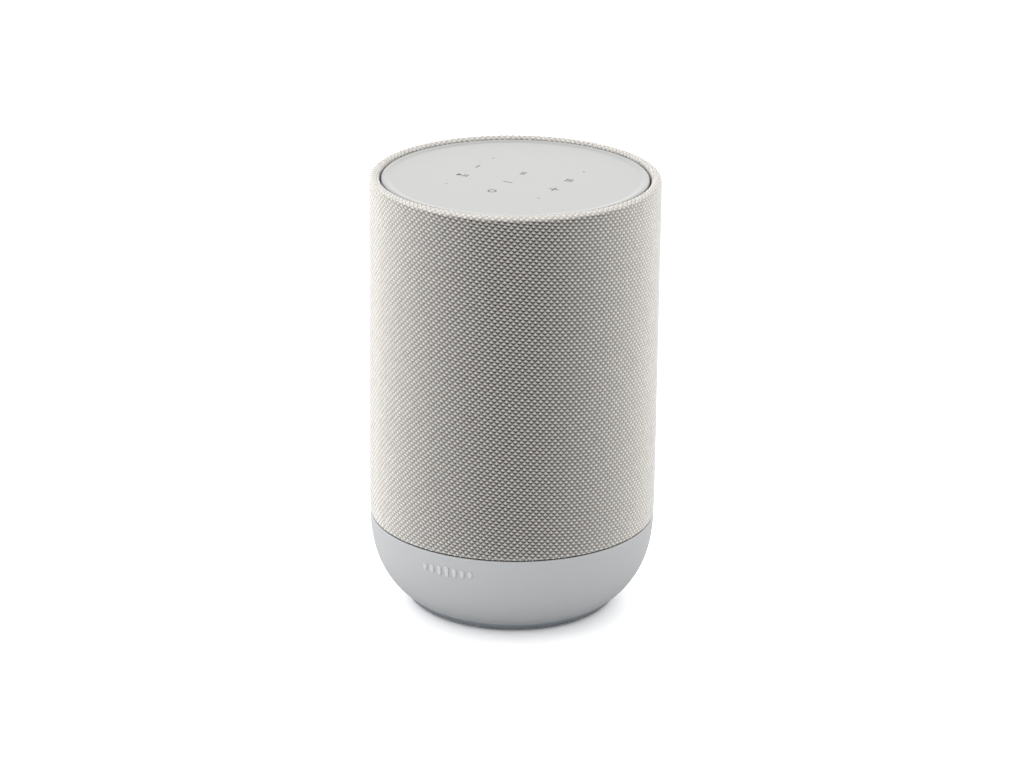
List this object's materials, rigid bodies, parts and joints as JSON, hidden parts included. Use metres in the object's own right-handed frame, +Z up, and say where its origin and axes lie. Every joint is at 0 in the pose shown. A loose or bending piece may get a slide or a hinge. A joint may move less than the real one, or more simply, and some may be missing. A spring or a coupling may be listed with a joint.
{
  "type": "smart speaker",
  "caption": "Cylindrical table-top speaker: cloth-covered drum on a smooth bowl base, dished touch panel on top, rear connector bay, forward woofer and two angled tweeters inside.",
  "frame": {"origin": "on the table, under the centre of the drum", "axes": "+Z up along the drum's axis, front (raised mark and woofer) towards -Y, connector bay towards +Y, +X to the right when seen from the front"},
  "size_m": [0.14, 0.14, 0.216],
  "materials": {
    "rubber": "matt moulded rubber",
    "trim_metal": "polished plated ring",
    "dark_plastic": "fine moulded texture",
    "shell_plastic": "satin moulded ABS, pale cool grey",
    "panel_plastic": "satin moulded ABS, pale grey",
    "light_pipe": "clear light pipe",
    "circuit_board": "green solder mask",
    "plated_steel": "zinc plated",
    "ferrite": "ground ferrite",
    "copper": "enamelled copper wire",
    "capacitor_sleeve": "shrink sleeve",
    "aluminium": "extruded",
    "cone_paper": "pressed paper pulp",
    "surround_rubber": "butyl rubber",
    "spider_cloth": "resin-dipped cotton",
    "dome_cloth": "coated silk",
    "wadding": "polyester wadding",
    "sleeve_cloth": "woven polyester, pale grey and beige"
  },
  "bodies": {
    "speaker": {"foot_pad": "rubber", "foot_ring": "trim_metal", "foot_plate": "dark_plastic", "base_shell": "shell_plastic", "front_mark": "shell_plastic", "io_panel": "dark_plastic", "panel_screws": "plated_steel", "power_inlet": "dark_plastic", "inlet_pins": "plated_steel", "usb_port": "plated_steel", "usb_tongue": "dark_plastic", "aux_jack": "dark_plastic", "status_light": "light_pipe", "io_board": "circuit_board", "switch_bodies": "dark_plastic", "power_board": "circuit_board", "transformer": "copper", "capacitors": "capacitor_sleeve", "heat_sink": "aluminium", "main_board": "circuit_board", "wifi_module": "plated_steel", "amp_chips": "dark_plastic", "board_screws": "plated_steel", "chassis_screws": "plated_steel", "case_screws": "plated_steel", "seam_ring": "rubber", "cabinet_floor": "dark_plastic", "floor_gasket": "rubber", "cabinet": "dark_plastic", "damping_pad": "wadding", "woofer_gasket": "rubber", "woofer_frame": "dark_plastic", "woofer_top_plate": "plated_steel", "woofer_magnet": "ferrite", "woofer_yoke": "plated_steel", "woofer_surround": "surround_rubber", "woofer_spider": "spider_cloth", "woofer_screws": "plated_steel", "left_tweeter_plate": "dark_plastic", "left_tweeter_motor": "plated_steel", "right_tweeter_plate": "dark_plastic", "right_tweeter_motor": "plated_steel", "tweeter_screws": "plated_steel", "antenna_boards": "circuit_board", "grille_tube": "dark_plastic", "fabric_sleeve": "sleeve_cloth", "top_deck": "dark_plastic", "touch_panel": "panel_plastic", "touch_board": "circuit_board", "mic_capsules": "plated_steel", "mic_gaskets": "rubber"},
    "pair_button": {"pair_button": "shell_plastic"},
    "connect_button": {"connect_button": "shell_plastic"},
    "mic_switch": {"mic_switch": "shell_plastic"},
    "woofer_cone": {"woofer_cone": "cone_paper", "woofer_coil": "copper", "woofer_dust_cap": "cone_paper"},
    "left_tweeter_dome": {"left_tweeter_dome": "dome_cloth"},
    "right_tweeter_dome": {"right_tweeter_dome": "dome_cloth"}
  },
  "joints": [
    {"name": "pair_press", "type": "slide", "parent": "speaker", "child": "pair_button", "axis": [0, -1, 0], "range_m": [0, 0.0008], "stiffness_N_per_m": 800, "springref_m": -0.0004},
    {"name": "connect_press", "type": "slide", "parent": "speaker", "child": "connect_button", "axis": [0, -1, 0], "range_m": [0, 0.0008], "stiffness_N_per_m": 800, "springref_m": -0.0004},
    {"name": "mic_mute_slide", "type": "slide", "parent": "speaker", "child": "mic_switch", "axis": [1, 0, 0], "range_m": [0, 0.003]},
    {"name": "cone_stroke", "type": "slide", "parent": "speaker", "child": "woofer_cone", "axis": [0, -1, 0], "range_m": [-0.004, 0.004], "stiffness_N_per_m": 1300, "deforming": ["woofer_surround", "woofer_spider"]},
    {"name": "left_dome_stroke", "type": "slide", "parent": "speaker", "child": "left_tweeter_dome", "axis": [-0.766, -0.6428, 0], "range_m": [-0.0003, 0.0003], "stiffness_N_per_m": 1500},
    {"name": "right_dome_stroke", "type": "slide", "parent": "speaker", "child": "right_tweeter_dome", "axis": [0.766, -0.6428, 0], "range_m": [-0.0003, 0.0003], "stiffness_N_per_m": 1500}
  ]
}
